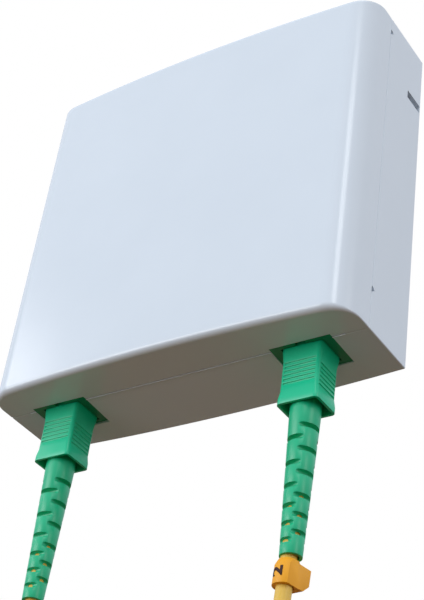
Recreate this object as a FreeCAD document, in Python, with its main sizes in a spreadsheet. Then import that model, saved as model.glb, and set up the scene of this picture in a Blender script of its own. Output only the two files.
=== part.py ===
"""Surface-mounted fibre termination box with two SC/APC ports and two patch cords.

The back of the case lies on the wall, on the plane Y = 0, and the front faces -Y. +Z is up and
the origin is the middle of the back, so it is also the middle of the two wall screws. A depth
is a distance forward from the wall. Every plug is drawn once, in its own frame: +Z points to
its mate, -Y is its key side, and the origin is the plane where two ferrules meet.
"""
import FreeCAD, Part
import math
import os
import re
import Sketcher
from FreeCAD import Placement, Rotation, Vector

SIZES = [
    ("case_width", 86.0, "outside width of the case"),
    ("case_height", 82.0, "outside height of the case"),
    ("side_depth", 23.2, "depth of the case at its side walls"),
    ("front_bow", 1.8, "how far the front swells past the side depth"),
    ("base_depth", 14.75, "depth of the rear base, up to the seam"),
    ("wall_thick", 2.0, "wall of the base and of the cover"),
    ("belly_drop", 1.17, "sag of the base's lower edge at the wall"),
    ("front_corner", 6.0, "radius of the cover's upright front edges"),
    ("front_edge", 1.3, "radius along the top and bottom of the cover's front"),
    ("soft_edge", 0.25, "radius that takes the sharpness off the case's other edges"),
    ("lip_thick", 1.0, "rim of the cover that enters the base"),
    ("lip_depth", 1.5, "how far that rim enters"),
    ("lip_gap", 0.15, "clearance round the rim"),
    ("pit_width", 1.0, "depth of a prying notch back from the seam"),
    ("pit_tall", 1.5, "height of a prying notch at the seam"),
    ("pit_deep", 0.8, "how far a prying notch goes into the wall"),
    ("pit_drop", 3.9, "upper prying notches, down from the top edge"),
    ("pit_lift", 9.1, "lower prying notches, up from the bottom edge"),
    ("pit_high", "=case_height / 2 - pit_drop", "height of the upper prying notches"),
    ("pit_low", "=case_height / 2 - pit_lift", "drop of the lower prying notches"),
    ("slot_drop", 14.65, "drop cable slot, down from the top edge"),
    ("slot_middle", "=case_height / 2 - slot_drop", "height of the drop cable slot"),
    ("slot_tall", 2.0, "height of the slot's opening"),
    ("slot_deep", 6.0, "depth of the slot from the wall"),
    ("slot_rim", 0.4, "rim that closes the slot at the wall"),
    ("screw_spacing", 60.0, "distance between the wall screws"),
    ("screw_hole", 4.2, "diameter of a wall screw hole"),
    ("port_left", 29.65, "left port's axis, from the middle"),
    ("port_right", 28.55, "right port's axis, from the middle"),
    ("port_depth", 11.0, "depth of the port axes"),
    ("adapter_width", 13.3, "adapter, across"),
    ("adapter_depth", 9.5, "adapter, front to back"),
    ("adapter_length", 27.0, "adapter, along the plugs"),
    ("flange_span", 16.5, "adapter flange, across"),
    ("flange_thick", 1.6, "adapter flange, along the plugs"),
    ("panel_gap", 0.05, "clearance of the adapter in the case wall"),
    ("seat_gap", 0.1, "clearance of the flange in its seat"),
    ("seat_thick", 1.5, "thickness of a seat rib"),
    ("seat_width", 2.0, "width of a seat rib"),
    ("clip_thick", 0.25, "sheet of the adapter clip"),
    ("clip_width", 3.0, "width of the adapter clip"),
    ("socket_gap", 0.1, "clearance round a grip in the adapter"),
    ("key_width", 2.0, "width of the plug's key"),
    ("key_rise", 0.8, "height of the plug's key"),
    ("key_length", 7.0, "length of the plug's key"),
    ("key_gap", 0.1, "clearance round the key"),
    ("holder_plate", 0.6, "plate of a latch holder"),
    ("holder_tube", 6.2, "how far a latch holder's tube reaches"),
    ("holder_lip", 0.4, "lip that keeps the sleeve in"),
    ("hook_thick", 0.5, "thickness of a latch hook"),
    ("hook_width", 3.6, "width of a latch hook"),
    ("hook_reach", 7.4, "how far a latch hook reaches"),
    ("hook_head", 1.0, "length of a hook's head"),
    ("sleeve_outer", 3.2, "outside of the alignment sleeve"),
    ("sleeve_length", 11.4, "length of the alignment sleeve"),
    ("sleeve_slit", 0.4, "slit along the alignment sleeve"),
    ("fit_gap", 0.05, "radial clearance between round pieces"),
    ("grip_width", 9.0, "plug grip, across"),
    ("grip_depth", 7.4, "plug grip, front to back"),
    ("grip_length", 25.0, "plug grip, along the plug"),
    ("grip_wall", 0.75, "wall of the grip"),
    ("grip_front", 0.8, "the grip's front end behind the mating plane"),
    ("grip_waist", 16.5, "where the grip's narrow waist starts"),
    ("waist_cut", 0.25, "how deep the waist is on the front and back"),
    ("side_cut", 0.35, "how deep the waist is on the sides"),
    ("waist_end", 1.2, "length of each slope at the ends of the side waist"),
    ("rear_hollow", 6.0, "depth of the hollow behind the grip"),
    ("hollow_rim", 0.55, "rim round that hollow, on the sides"),
    ("slide_gap", 0.1, "clearance of the grip on the plug body"),
    ("body_front", 1.6, "plug body's front end behind the mating plane"),
    ("body_rear", 21.3, "plug body's shoulder behind the mating plane"),
    ("hook_land", 5.8, "width of the plug body between the latch hooks"),
    ("hook_zone", 8.4, "where the plug body widens behind the hooks"),
    ("wide_bore", 4.9, "bore for the holder tube, the flange and the spring"),
    ("neck_bore", 3.6, "bore of the neck that stops the ferrule"),
    ("neck_front", 7.4, "front of that neck"),
    ("neck_rear", 8.9, "rear of that neck"),
    ("bore_end", 17.0, "end of the spring's bore"),
    ("crimp_outer", 4.6, "tail tube that the cable is crimped to"),
    ("crimp_length", 5.7, "length of that tail tube"),
    ("ferrule_bore", 2.5, "diameter of the ferrule"),
    ("ferrule_gap", 0.02, "gap of a ferrule to the mating plane"),
    ("ferrule_slope", 8.0, "angle of the polished ferrule face"),
    ("flange_outer", 4.6, "ferrule flange, across"),
    ("flange_length", 2.0, "ferrule flange, along the plug"),
    ("tail_outer", 2.6, "tube behind the ferrule flange"),
    ("tail_end", 15.5, "end of that tube"),
    ("spring_wire", 0.45, "wire of the ferrule spring"),
    ("spring_turns", 5.0, "turns of the ferrule spring"),
    ("boot_root", 6.0, "patch cord boot where it leaves the grip"),
    ("boot_tip", 4.2, "patch cord boot at its thin end"),
    ("boot_end", 56.1, "end of the patch cord boot"),
    ("boot_gap", 0.3, "space between the plug body and its boot"),
    ("cord_width", 3.0, "diameter of the patch cord"),
    ("cord_gap", 0.1, "clearance of the boot on its cord"),
    ("fibre_width", 0.9, "diameter of a pigtail"),
    ("inner_boot_root", 5.6, "pigtail boot at the plug"),
    ("inner_boot_tip", 2.6, "pigtail boot at its thin end"),
    ("inner_boot_end", 36.0, "end of the pigtail boot"),
    ("cap_outer", 6.6, "dust cap, across"),
    ("cap_length", 7.6, "dust cap's head"),
    ("cap_stem", 7.0, "dust cap's stem in the plug"),
    ("spool_outer", 30.0, "drum of the fibre spool"),
    ("spool_wall", 2.0, "wall of the drum"),
    ("spool_depth", 7.0, "depth of the drum"),
    ("tab_reach", 4.0, "how far a keeper tab reaches past the drum"),
    ("tab_width", 6.0, "width of a keeper tab"),
    ("tab_thick", 1.0, "thickness of a keeper tab"),
    ("bundle_inner", 15.3, "inner radius of the stored pigtails"),
    ("bundle_outer", 17.6, "outer radius of the stored pigtails"),
    ("bundle_thick", 3.0, "depth of the stored pigtails"),
    ("splice_outer", 2.5, "splice sleeve, across"),
    ("splice_length", 40.0, "splice sleeve, along the fibre"),
    ("splice_pitch", 3.4, "distance between the two splice sleeves"),
    ("splice_shift", 6.0, "how far each splice sleeve is set aside from the middle"),
    ("holder_drop", 7.6, "splice holder's middle, down from the top edge"),
    ("holder_height", "=case_height / 2 - holder_drop", "height of the splice holder's middle"),
    ("rib_thick", 0.8, "rib of the splice holder"),
    ("rib_rise", 4.0, "height of a rib above its plate"),
    ("plate_thick", 1.0, "plate of the splice holder"),
    ("clamp_span", 9.0, "distance between the clamp's screws"),
    ("clamp_side", 35.0, "the clamp's place across the case"),
    ("clamp_width", 4.4, "clamp bar, across"),
    ("clamp_thick", 1.6, "clamp bar's thickness"),
    ("boss_outer", 4.4, "boss under a clamp screw"),
    ("boss_rise", 3.6, "height of that boss"),
    ("clamp_screw", 1.9, "shank of a clamp screw"),
    ("screw_length", 4.0, "shank below the screw's head"),
    ("head_outer", 3.6, "head of a clamp screw"),
    ("head_rise", 1.1, "height of the screw's head"),
    ("coil_radius", 18.0, "mean radius of a stored patch cord"),
    ("coil_section", 9.4, "width and depth of the stored turns"),
    ("coil_round", 2.4, "radius on the edges of the stored turns"),
    ("tie_thick", 0.9, "strap that ties a coil"),
    ("tie_gap", 0.05, "clearance of the strap on the coil"),
    ("tie_angle", 26.0, "how much of the coil the strap covers"),
    ("tie_lean", 27.0, "how far from the top of the coil the strap sits, away from the other coil"),
    ("marker_outer", 4.8, "round of the cable marker"),
    ("marker_length", 4.9, "cable marker, along the cable"),
    ("marker_drop", 45.6, "the marker's middle, down from the case's bottom edge"),
    ("marker_aside", 0.25, "how far the cord's bend sets the marker aside"),
    ("marker_lean", 3.0, "tilt of the marker with the cord"),
    ("marker_wing", 4.6, "how far the marker's flag reaches"),
    ("wing_thick", 2.6, "thickness of that flag"),
    ("wing_turn", 80.0, "turn of the flag from the right towards the wall"),
]

# Each cord is a list of points, chosen by hand, that its round tube bends past.
CORD_ROUTES = {
    "left": [(-29.65, -11.0, -54.6), (-29.65, -11.0, -86.0), (-29.7, -10.0, -99.0), (-29.1, -9.1, -111.5)],
    "right": [(28.55, -11.0, -54.6), (28.5, -11.0, -79.0), (27.75, -11.1, -92.0),
              (27.6, -12.0, -102.5), (27.8, -13.1, -113.0)],
}
CORD_TAILS = {
    "left": [(-32.2, -6.0, -131.5), (-32.2, -6.0, -168.8)],
    "right": [(30.9, -16.2, -132.5), (30.9, -16.2, -175.8)],
}
COIL_MIDDLES = {"left": (-11.1, -6.0, -124.0), "right": (9.8, -16.2, -125.0)}
FAR_PLUGS = {"left": (-32.2, -6.0, -196.0), "right": (30.9, -16.2, -203.0)}
PIGTAIL_ROUTES = {
    "left": [(-29.65, -11.0, -0.1), (-29.65, -11.0, 13.0), (-24.0, -9.2, 22.0),
             (-13.0, -6.4, 21.5), (-4.0, -5.5, 16.6)],
    "right": [(28.55, -11.0, -0.1), (28.55, -11.0, 13.0), (24.0, -9.2, 22.0),
              (13.0, -6.4, 21.5), (4.0, -5.5, 16.6)],
}
SPLICE_TAILS = {
    "left": [(16.5, -5.5, -4.0), (16.8, -5.5, 6.0), (20.0, -5.3, 15.0), (24.4, -6.3, 24.5),
             (23.4, -7.8, 31.2), (19.0, -6.2, 34.6), (14.0, -4.4, 35.1)],
    "right": [(-16.5, -5.5, -4.0), (-16.8, -5.5, 5.0), (-20.0, -5.3, 13.0), (-24.4, -5.0, 21.5),
              (-23.4, -4.7, 27.9), (-19.0, -4.4, 31.2), (-14.0, -4.3, 31.7)],
}
SIDES = {"left": -1, "right": 1}

doc = FreeCAD.newDocument("fibre_wall_box")
sheet = doc.addObject("Spreadsheet::Sheet", "Sizes")
sub_parts = []


def fill_sheet():
    """Writes the driving dimensions to the sheet, each with its alias and a note."""
    for row, (alias, size, note) in enumerate(SIZES, start=1):
        sheet.set("A%d" % row, note)
        sheet.set("B%d" % row, str(size))
        sheet.setAlias("B%d" % row, alias)
    doc.recompute()


def sized(text):
    """Points the aliases of an expression at the sheet."""
    return re.sub(r"\b[a-z]+(?:_[a-z]+)+\b", r"Sizes.\g<0>", text)


def number(text):
    """Works an expression out to a plain number."""
    return float(sheet.evalExpression(sized(text)))


def new_body(label):
    """Starts a sub-part that is built from sketches."""
    body = doc.addObject("PartDesign::Body", label)
    body.Label = label
    return body


def new_sketch(body, role, offset="0"):
    """Starts a sketch on one of the body's own planes, moved along its normal."""
    sketch = body.newObject("Sketcher::SketchObject", body.Label + "_sketch")
    plane = next(item for item in body.Origin.OriginFeatures if item.Role == role)
    sketch.AttachmentSupport = [(plane, "")]
    sketch.MapMode = "FlatFace"
    sketch.setExpression("AttachmentOffset.Base.z", sized(offset))
    return sketch


def hold(sketch, kind, geometry, point, text):
    """Ties one coordinate of a sketch point to an expression."""
    index = sketch.addConstraint(Sketcher.Constraint(kind, -1, 1, geometry, point, number(text)))
    sketch.setExpression("Constraints[%d]" % index, sized(text))


def add_outline(sketch, corners):
    """Draws a closed outline of straight lines through corners given as expressions."""
    first = sketch.GeometryCount
    count = len(corners)
    places = [Vector(number(across), number(along), 0) for across, along in corners]
    for index in range(count):
        sketch.addGeometry(Part.LineSegment(places[index], places[(index + 1) % count]), False)
    for index in range(count):
        following = first + (index + 1) % count
        sketch.addConstraint(Sketcher.Constraint("Coincident", first + index, 2, following, 1))
    for index, (across, along) in enumerate(corners):
        hold(sketch, "DistanceX", first + index, 1, across)
        hold(sketch, "DistanceY", first + index, 1, along)


def add_rectangle(sketch, left, right, low, high):
    add_outline(sketch, [(left, low), (right, low), (right, high), (left, high)])


def add_circle(sketch, across, along, diameter):
    centre = Vector(number(across), number(along), 0)
    index = sketch.addGeometry(Part.Circle(centre, Vector(0, 0, 1), number(diameter) / 2), False)
    hold(sketch, "DistanceX", index, 3, across)
    hold(sketch, "DistanceY", index, 3, along)
    size = sketch.addConstraint(Sketcher.Constraint("Diameter", index, number(diameter)))
    sketch.setExpression("Constraints[%d]" % size, sized(diameter))


def add_bowed_outline(sketch, half_width, back, side, crown):
    """Draws a closed outline with one bowed edge, from side to side through the crown."""
    left, right = -number(half_width), number(half_width)
    rear, edge, top = number(back), number(side), number(crown)
    bow = Part.Arc(Vector(left, edge, 0), Vector(0, top, 0), Vector(right, edge, 0))
    sketch.addGeometry(bow, False)
    sketch.addGeometry(Part.LineSegment(Vector(right, edge, 0), Vector(right, rear, 0)), False)
    sketch.addGeometry(Part.LineSegment(Vector(right, rear, 0), Vector(left, rear, 0)), False)
    sketch.addGeometry(Part.LineSegment(Vector(left, rear, 0), Vector(left, edge, 0)), False)
    starts_left = sketch.getPoint(0, 1).x < 0
    arc_left, arc_right = (1, 2) if starts_left else (2, 1)
    sketch.addConstraint(Sketcher.Constraint("Coincident", 0, arc_right, 1, 1))
    for index in (1, 2):
        sketch.addConstraint(Sketcher.Constraint("Coincident", index, 2, index + 1, 1))
    sketch.addConstraint(Sketcher.Constraint("Coincident", 3, 2, 0, arc_left))
    for geometry, across, along in [(1, half_width, side), (2, half_width, back),
                                    (3, "-(%s)" % half_width, back)]:
        hold(sketch, "DistanceX", geometry, 1, across)
        hold(sketch, "DistanceY", geometry, 1, along)
    hold(sketch, "DistanceX", 3, 2, "-(%s)" % half_width)
    hold(sketch, "DistanceY", 3, 2, side)
    rise = "((%s) - (%s))" % (crown, side)
    radius = "abs((%s)^2 + %s^2) / abs(2 * %s)" % (half_width, rise, rise)
    size = sketch.addConstraint(Sketcher.Constraint("Radius", 0, number(radius)))
    sketch.setExpression("Constraints[%d]" % size, sized(radius))


def add_feature(body, kind, sketch, length, reverse):
    feature = body.newObject("PartDesign::" + kind, body.Label + "_" + kind.lower())
    feature.Profile = sketch
    feature.setExpression("Length", sized(length))
    feature.Reversed = reverse
    doc.recompute()
    return feature


def pad(body, sketch, length, reverse=False):
    """Adds material along the sketch's normal, or against it when reversed."""
    return add_feature(body, "Pad", sketch, length, reverse)


def pocket(body, sketch, length, reverse=False):
    """Removes material against the sketch's normal, or along it when reversed."""
    before = body.Shape.Volume
    feature = add_feature(body, "Pocket", sketch, length, reverse)
    if body.Shape.Volume > before - 1e-4:
        raise ValueError("a pocket of %s cut nothing" % body.Label)
    return feature


def turn(body, sketch, kind="Revolution", angle=360.0):
    """Turns a sketch on the XZ plane round the body's Z axis."""
    feature = body.newObject("PartDesign::" + kind, body.Label + "_" + kind.lower())
    feature.Profile = sketch
    feature.ReferenceAxis = (sketch, ["V_Axis"])
    feature.Angle = angle
    doc.recompute()
    return feature


def round_edges(body, radius, wanted):
    """Fillets the edges of the body for which wanted(edge) holds."""
    base = body.Tip
    names = ["Edge%d" % (index + 1) for index, edge in enumerate(base.Shape.Edges) if wanted(edge)]
    feature = body.newObject("PartDesign::Fillet", body.Label + "_fillet")
    feature.Base = (base, names)
    feature.setExpression("Radius", sized(radius))
    doc.recompute()
    return feature


def keep(item, label, place=("0", "0", "0"), spin=None):
    """Lists a finished sub-part, turned by spin and moved to a place given as expressions."""
    item.Label = label
    item.Placement = Placement(Vector(*[number(text) for text in place]), spin or Rotation())
    for axis, text in zip("xyz", place):
        item.setExpression("Placement.Base." + axis, sized(text))
    sub_parts.append(item)


def is_upright(edge):
    """True for a straight edge along Z."""
    ends = [vertex.Point for vertex in edge.Vertexes]
    return len(ends) == 2 and abs(ends[0].x - ends[1].x) + abs(ends[0].y - ends[1].y) < 1e-6


# ---- case ------------------------------------------------------------------------------

def port_across(side):
    return "%d * port_%s" % (SIDES[side], side)


def make_rear_base():
    """The tray that is screwed to the wall, with a lower edge that sags towards the wall."""
    body = new_body("rear_base")
    at_wall = new_sketch(body, "XZ_Plane")
    add_bowed_outline(at_wall, "case_width / 2", "case_height / 2", "-case_height / 2",
                      "-case_height / 2 - belly_drop")
    at_seam = new_sketch(body, "XZ_Plane", "base_depth")
    add_bowed_outline(at_seam, "case_width / 2", "case_height / 2", "-case_height / 2",
                      "-case_height / 2 - belly_drop / 50")
    loft = body.newObject("PartDesign::AdditiveLoft", "rear_base_loft")
    loft.Profile = at_wall
    loft.Sections = [at_seam]
    loft.Ruled = True
    doc.recompute()
    round_edges(body, "soft_edge", lambda edge: True)
    hollow = new_sketch(body, "XZ_Plane", "base_depth")
    add_rectangle(hollow, "wall_thick - case_width / 2", "case_width / 2 - wall_thick",
                  "wall_thick - case_height / 2", "case_height / 2 - wall_thick")
    pocket(body, hollow, "base_depth - wall_thick")
    add_base_seats(body)
    cut_base_ports(body)
    cut_base_holes(body)
    cut_prying_notches(body)
    keep(body, "rear_base")


def add_base_seats(body):
    """Ribs that hold the adapters by their flanges, and bosses for the clamp screws."""
    ribs = new_sketch(body, "XZ_Plane", "wall_thick")
    middle = "(adapter_length - case_height) / 2"
    near = "flange_thick / 2 + seat_gap"
    for side in SIDES:
        for hand in ("-", "+"):
            inner = "%s %s (adapter_width / 2 + 2 * seat_gap)" % (port_across(side), hand)
            outer = "%s %s seat_width" % (inner, hand)
            left, right = (outer, inner) if hand == "-" else (inner, outer)
            add_rectangle(ribs, left, right, "%s + %s" % (middle, near),
                          "%s + %s + seat_thick" % (middle, near))
            add_rectangle(ribs, left, right, "%s - (%s) - seat_thick" % (middle, near),
                          "%s - (%s)" % (middle, near))
    pad(body, ribs, "port_depth + adapter_depth / 4 - wall_thick")
    bosses = new_sketch(body, "XZ_Plane", "wall_thick")
    holes = new_sketch(body, "XZ_Plane", "wall_thick / 2")
    for hand in ("-", "+"):
        height = "slot_middle %s clamp_span / 2" % hand
        add_circle(bosses, "clamp_side", height, "boss_outer")
        add_circle(holes, "clamp_side", height, "clamp_screw + 2 * fit_gap")
    pad(body, bosses, "boss_rise")
    pocket(body, holes, "wall_thick / 2 + boss_rise + 1", reverse=True)


def cut_base_ports(body):
    """Openings in the lower wall, open towards the cover, that the adapters stand in."""
    ports = new_sketch(body, "XZ_Plane", "base_depth")
    for side in SIDES:
        half = "(adapter_width / 2 + panel_gap)"
        add_rectangle(ports, "%s - %s" % (port_across(side), half), "%s + %s" % (port_across(side), half),
                      "-case_height / 2 - belly_drop - 1", "wall_thick + 0.1 - case_height / 2")
    pocket(body, ports, "base_depth - port_depth + adapter_depth / 2 + panel_gap")


def cut_base_holes(body):
    """Wall screw holes, and the slot where a flat drop cable comes in at the right."""
    screws = new_sketch(body, "XZ_Plane", "wall_thick")
    for hand in SIDES.values():
        add_circle(screws, "%d * screw_spacing / 2" % hand, "0", "screw_hole")
    pocket(body, screws, "wall_thick")
    slot = new_sketch(body, "XZ_Plane", "slot_deep")
    add_rectangle(slot, "case_width / 2 - wall_thick - 0.1", "case_width / 2 + 1",
                  "slot_middle - slot_tall / 2", "slot_middle + slot_tall / 2")
    pocket(body, slot, "slot_deep - slot_rim")


def cut_prying_notches(body):
    """Small wedge-shaped notches at the seam, where a blade lifts the cover."""
    for offset, reverse in (("case_width / 2", False), ("-case_width / 2", True)):
        wedges = new_sketch(body, "YZ_Plane", offset)
        for height in ("pit_high", "-pit_low"):
            add_outline(wedges, [("-base_depth", height + " - pit_tall / 2"),
                                 ("pit_width - base_depth", height),
                                 ("-base_depth", height + " + pit_tall / 2")])
        pocket(body, wedges, "pit_deep", reverse)


def make_front_cover():
    """The glossy shell that closes the base, with a bowed front and rounded upright edges."""
    block = new_body("cover_block")
    plan = new_sketch(block, "XY_Plane", "-case_height / 2")
    add_bowed_outline(plan, "case_width / 2", "-base_depth", "-side_depth", "-side_depth - front_bow")
    pad(block, plan, "case_height")
    depth = number("side_depth")
    round_edges(block, "front_corner", lambda edge: is_upright(edge) and edge.CenterOfMass.y < -depth + 0.01)
    rounded = soften_cover(block)
    body = new_body("front_cover")
    body.BaseFeature = rounded
    doc.recompute()
    inside = new_sketch(body, "XY_Plane", "wall_thick - case_height / 2")
    add_bowed_outline(inside, "case_width / 2 - wall_thick", "-base_depth + 1",
                      "wall_thick - side_depth", "wall_thick - side_depth - front_bow")
    pocket(body, inside, "case_height - 2 * wall_thick", reverse=True)
    inner_depth = number("side_depth - wall_thick")
    inner_half = number("case_width / 2 - wall_thick")

    def is_inner_corner(edge):
        middle = edge.CenterOfMass
        return is_upright(edge) and abs(abs(middle.x) - inner_half) + abs(middle.y + inner_depth) < 0.01

    round_edges(body, "front_corner - wall_thick", is_inner_corner)
    add_cover_lip(body)
    keep(body, "front_cover")


def soften_cover(block):
    """Rounds the front's top and bottom edges, and fades to a soft edge along the sides."""
    full, soft = number("front_edge"), number("soft_edge")
    level, seam = number("case_height / 2"), -number("base_depth")
    radii = []
    for index, edge in enumerate(block.Shape.Edges, start=1):
        ends = [vertex.Point for vertex in edge.Vertexes]
        at_seam = all(abs(end.y - seam) < 1e-6 for end in ends)
        at_rim = all(abs(abs(end.z) - level) < 1e-6 for end in ends)
        is_round = isinstance(edge.Curve, Part.Circle)
        if at_rim and is_round and edge.Length > number("case_width / 2"):
            radii.append((index, full, full))
        elif at_rim and is_round:
            fading = (soft, full) if edge.CenterOfMass.x < 0 else (full, soft)
            radii.append((index,) + fading)
        elif at_rim or at_seam:
            radii.append((index, soft, soft))
    rounded = doc.addObject("Part::Fillet", "cover_rounded")
    rounded.Base = block
    rounded.Edges = radii
    doc.recompute()
    return rounded


def add_cover_lip(body):
    """The rim that enters the base, and the cuts that clear the adapters."""
    lip = new_sketch(body, "XZ_Plane", "base_depth - lip_depth")
    inset = "(wall_thick + lip_gap)"
    for edge in (inset, "(wall_thick + lip_gap + lip_thick)"):
        add_rectangle(lip, "%s - case_width / 2" % edge, "case_width / 2 - %s" % edge,
                      "%s - case_height / 2" % edge, "case_height / 2 - %s" % edge)
    pad(body, lip, "lip_depth")
    foot = new_sketch(body, "XZ_Plane", "base_depth")
    for edge in ("(wall_thick / 2)", "(wall_thick + lip_gap + lip_thick)"):
        add_rectangle(foot, "%s - case_width / 2" % edge, "case_width / 2 - %s" % edge,
                      "%s - case_height / 2" % edge, "case_height / 2 - %s" % edge)
    pad(body, foot, "wall_thick")
    ports = new_sketch(body, "XZ_Plane", "base_depth - lip_depth - 1")
    for side in SIDES:
        half = "(adapter_width / 2 + panel_gap)"
        add_rectangle(ports, "%s - %s" % (port_across(side), half), "%s + %s" % (port_across(side), half),
                      "-case_height / 2 - 1", "wall_thick + 2 * lip_thick - case_height / 2")
    reach = "port_depth + adapter_depth / 2 + panel_gap - base_depth + lip_depth + 1"
    pocket(body, ports, reach, reverse=True)


# ---- adapters --------------------------------------------------------------------------

def socket_place(side):
    """Where the two ferrules meet in one adapter, whose end is flush with the case's bottom."""
    return (port_across(side), "-port_depth", "(adapter_length - case_height) / 2")


def make_adapter_housing(side):
    label = "adapter_housing_" + side
    body = new_body(label)
    outside = new_sketch(body, "XY_Plane", "-adapter_length / 2")
    add_rectangle(outside, "-adapter_width / 2", "adapter_width / 2", "-adapter_depth / 2", "adapter_depth / 2")
    pad(body, outside, "adapter_length")
    flange = new_sketch(body, "XY_Plane", "-flange_thick / 2")
    add_rectangle(flange, "-flange_span / 2", "flange_span / 2", "-adapter_depth / 4", "adapter_depth / 4")
    pad(body, flange, "flange_thick")
    half_width, half_depth = "(grip_width / 2 + socket_gap)", "(grip_depth / 2 + socket_gap)"
    socket = new_sketch(body, "XY_Plane", "adapter_length / 2")
    add_rectangle(socket, "-" + half_width, half_width, "-" + half_depth, half_depth)
    pocket(body, socket, "adapter_length")
    for offset, reverse in (("adapter_length / 2", False), ("-adapter_length / 2", True)):
        slot = new_sketch(body, "XY_Plane", offset)
        add_rectangle(slot, "-key_width / 2 - key_gap", "key_width / 2 + key_gap",
                      "-adapter_depth / 2 - 1", "0.1 - " + half_depth)
        pocket(body, slot, "adapter_length / 2 - grip_front / 2", reverse)
    keep(body, label, socket_place(side))


def make_adapter_latches(side):
    """Two holders back to back: each has a tube for the sleeve and two latch hooks."""
    label = "adapter_latches_" + side
    body = new_body(label + "_half")
    half_width, half_depth = "(grip_width / 2 + socket_gap)", "(grip_depth / 2 + socket_gap)"
    plate = new_sketch(body, "XY_Plane")
    add_rectangle(plate, "-" + half_width, half_width, "-" + half_depth, half_depth)
    pad(body, plate, "holder_plate", reverse=True)
    tube = new_sketch(body, "XY_Plane")
    add_circle(tube, "0", "0", "wide_bore - 8 * fit_gap")
    pad(body, tube, "holder_tube", reverse=True)
    hooks = new_sketch(body, "XY_Plane")
    heads = new_sketch(body, "XY_Plane", "hook_head - hook_reach")
    outer = "(grip_width / 2 - grip_wall - slide_gap)"
    for hand in ("-", ""):
        edges = [hand + outer, "%s(%s - hook_thick)" % (hand, outer)]
        head_edges = [hand + outer, "%s(hook_land / 2 + slide_gap)" % hand]
        for sketch, pair in ((hooks, edges), (heads, head_edges)):
            left, right = pair if hand == "-" else reversed(pair)
            add_rectangle(sketch, left, right, "-hook_width / 2", "hook_width / 2")
    pad(body, hooks, "hook_reach", reverse=True)
    pad(body, heads, "hook_head", reverse=True)
    bore = new_sketch(body, "XY_Plane")
    add_circle(bore, "0", "0", "sleeve_outer + 2 * fit_gap")
    pocket(body, bore, "holder_tube - holder_lip")
    lip_bore = new_sketch(body, "XY_Plane")
    add_circle(lip_bore, "0", "0", "ferrule_bore + 4 * fit_gap")
    pocket(body, lip_bore, "holder_tube")
    other = doc.addObject("Part::Mirroring", label + "_other")
    other.Source = body
    other.Normal = Vector(0, 0, 1)
    both = doc.addObject("Part::Compound", label)
    both.Links = [body, other]
    keep(both, label, socket_place(side))


def make_alignment_sleeve(side):
    """The split sleeve that lines up the two ferrules."""
    label = "alignment_sleeve_" + side
    body = new_body(label)
    ring = new_sketch(body, "XY_Plane", "-sleeve_length / 2")
    add_circle(ring, "0", "0", "sleeve_outer")
    add_circle(ring, "0", "0", "ferrule_bore + 2 * ferrule_gap")
    pad(body, ring, "sleeve_length")
    slit = new_sketch(body, "XY_Plane", "sleeve_length / 2")
    add_rectangle(slit, "-sleeve_slit / 2", "sleeve_slit / 2", "ferrule_bore / 4", "sleeve_outer")
    pocket(body, slit, "sleeve_length")
    keep(body, label, socket_place(side))


def make_adapter_clip(side):
    """A sheet-metal clip round three sides of the adapter."""
    label = "adapter_clip_" + side
    body = new_body(label)
    strip = new_sketch(body, "XY_Plane", "flange_thick / 2 + seat_gap + 2 * seat_thick")
    inner_x, inner_y = "adapter_width / 2", "-adapter_depth / 2"
    outer_x, outer_y = "(adapter_width / 2 + clip_thick)", "-adapter_depth / 2 - clip_thick"
    add_outline(strip, [("-" + outer_x, "0"), ("-" + outer_x, outer_y), (outer_x, outer_y), (outer_x, "0"),
                        (inner_x, "0"), (inner_x, inner_y), ("-" + inner_x, inner_y), ("-" + inner_x, "0")])
    pad(body, strip, "clip_width")
    keep(body, label, socket_place(side))


# ---- plugs -----------------------------------------------------------------------------

def make_plug_body(label, place, spin):
    """The plug's core: a square frame with a stepped bore and a round tail."""
    body = new_body(label)
    half_width = "(grip_width / 2 - grip_wall - slide_gap)"
    half_depth = "(grip_depth / 2 - grip_wall - slide_gap)"
    frame = new_sketch(body, "XY_Plane", "-body_rear")
    add_rectangle(frame, "-" + half_width, half_width, "-" + half_depth, half_depth)
    pad(body, frame, "body_rear - body_front")
    tail = new_sketch(body, "XY_Plane", "-body_rear")
    add_circle(tail, "0", "0", "crimp_outer")
    pad(body, tail, "crimp_length", reverse=True)
    lands = new_sketch(body, "XY_Plane", "-body_front")
    add_rectangle(lands, "-%s - 1" % half_width, "-hook_land / 2", "-%s - 1" % half_depth, half_depth + " + 1")
    add_rectangle(lands, "hook_land / 2", half_width + " + 1", "-%s - 1" % half_depth, half_depth + " + 1")
    pocket(body, lands, "hook_zone - body_front")
    bore = new_sketch(body, "XZ_Plane")
    wide, neck, cable = "wide_bore / 2", "neck_bore / 2", "(cord_width + 2 * cord_gap) / 2"
    top, bottom = "1 - body_front", "-body_rear - crimp_length - 1"
    add_outline(bore, [("0", top), (wide, top), (wide, "-neck_front"), (neck, "-neck_front"),
                       (neck, "-neck_rear"), (wide, "-neck_rear"), (wide, "-bore_end"),
                       (cable, "-bore_end"), (cable, bottom), ("0", bottom)])
    turn(body, bore, "Groove")
    keep(body, label, place, spin)


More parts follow.
